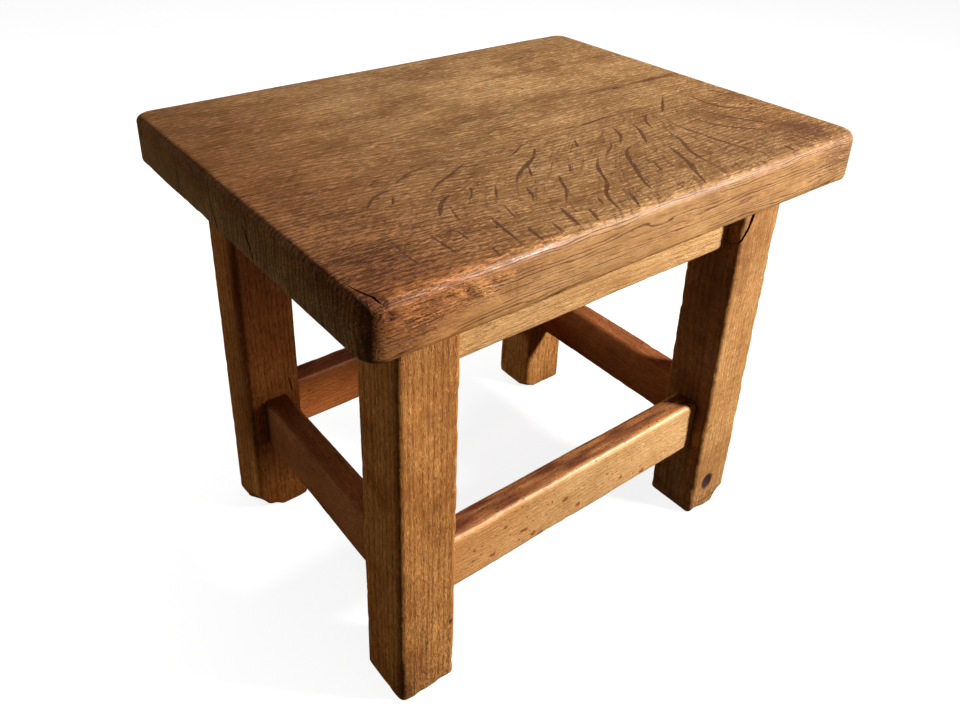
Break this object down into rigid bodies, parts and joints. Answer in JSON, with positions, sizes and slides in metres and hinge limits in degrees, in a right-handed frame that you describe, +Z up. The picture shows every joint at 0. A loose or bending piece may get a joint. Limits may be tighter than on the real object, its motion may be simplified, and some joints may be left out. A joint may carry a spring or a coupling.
{
  "type": "milking stool",
  "caption": "Low four-legged wooden stool: a rectangular board seat on square legs, joined by aprons under the seat and stretchers near the floor.",
  "frame": {"origin": "centre of the base, on the floor under the middle of the seat", "axes": "+Z up, +X along the long edges of the seat, the front is -Y and the left end is -X"},
  "size_m": [0.33, 0.257, 0.278],
  "materials": {
    "seat_oak": "worn waxed oak, quarter-sawn in the front board, semi-matt",
    "leg_oak": "worn waxed oak with open pores, semi-matt",
    "rail_oak": "waxed oak, paler honey colour, satin",
    "dowel_beech": "bare unfinished wood, matt"
  },
  "bodies": {
    "root": {"seat_board_front": "seat_oak", "seat_board_back": "seat_oak", "seam_dowel_left": "dowel_beech", "seam_dowel_middle": "dowel_beech", "seam_dowel_right": "dowel_beech", "seat_dowel_front_left": "dowel_beech", "seat_dowel_front_right": "dowel_beech", "seat_dowel_back_left": "dowel_beech", "seat_dowel_back_right": "dowel_beech", "seat_dowel_left_front": "dowel_beech", "seat_dowel_left_back": "dowel_beech", "seat_dowel_right_front": "dowel_beech", "seat_dowel_right_back": "dowel_beech", "leg_front_left": "leg_oak", "leg_front_right": "leg_oak", "leg_back_left": "leg_oak", "leg_back_right": "leg_oak", "apron_front": "rail_oak", "apron_back": "rail_oak", "apron_left": "rail_oak", "apron_right": "rail_oak", "stretcher_front": "rail_oak", "stretcher_back": "rail_oak", "stretcher_left": "rail_oak", "stretcher_right": "rail_oak"}
  },
  "joints": []
}
